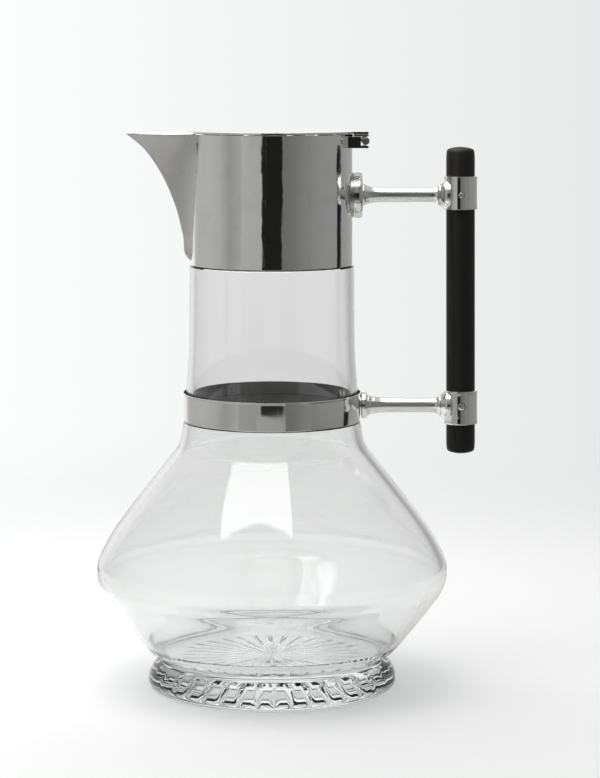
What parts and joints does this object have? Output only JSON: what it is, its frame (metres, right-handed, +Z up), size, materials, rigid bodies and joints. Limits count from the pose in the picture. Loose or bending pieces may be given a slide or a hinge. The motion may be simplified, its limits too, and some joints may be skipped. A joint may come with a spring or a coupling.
{
  "type": "lidded claret jug",
  "caption": "Clear glass jug with a conical belly, silver collar, beak spout and hinged flat lid, and an upright dark wood rod held by two turned silver arms.",
  "frame": {"origin": "centre of the foot's flat underside, on the table", "axes": "+Z up along the vessel's axis, +X towards the handle, so the spout points along -X; the hinge pin runs along Y"},
  "size_m": [0.155, 0.1424, 0.2249],
  "materials": {
    "glass": "polished, colourless",
    "silver": "polished silver with fine wear scratches",
    "cement": "matt plaster cement",
    "ebony": "satin, straight grain"
  },
  "bodies": {
    "jug": {"glass_body": "glass", "neck_collar": "silver", "collar_bedding": "cement", "spout": "silver", "collar_hinge_bracket": "silver", "collar_knuckle_front": "silver", "collar_knuckle_middle": "silver", "collar_knuckle_rear": "silver", "hinge_pin": "silver", "lower_band": "silver", "band_bedding": "cement", "upper_flange": "silver", "upper_arm": "silver", "upper_ferrule": "silver", "upper_handle_pin": "silver", "lower_flange": "silver", "lower_arm": "silver", "lower_ferrule": "silver", "lower_handle_pin": "silver", "handle_rod": "ebony"},
    "lid": {"lid_plate": "silver", "lid_bezel": "silver", "lid_hinge_leaf": "silver", "lid_knuckle_front": "silver", "lid_knuckle_rear": "silver"}
  },
  "joints": [
    {"name": "lid_hinge", "type": "hinge", "parent": "jug", "child": "lid", "pos_m": [0.0379, 0, 0.2211], "axis": [0, 1, 0], "range_deg": [0, 100]}
  ]
}
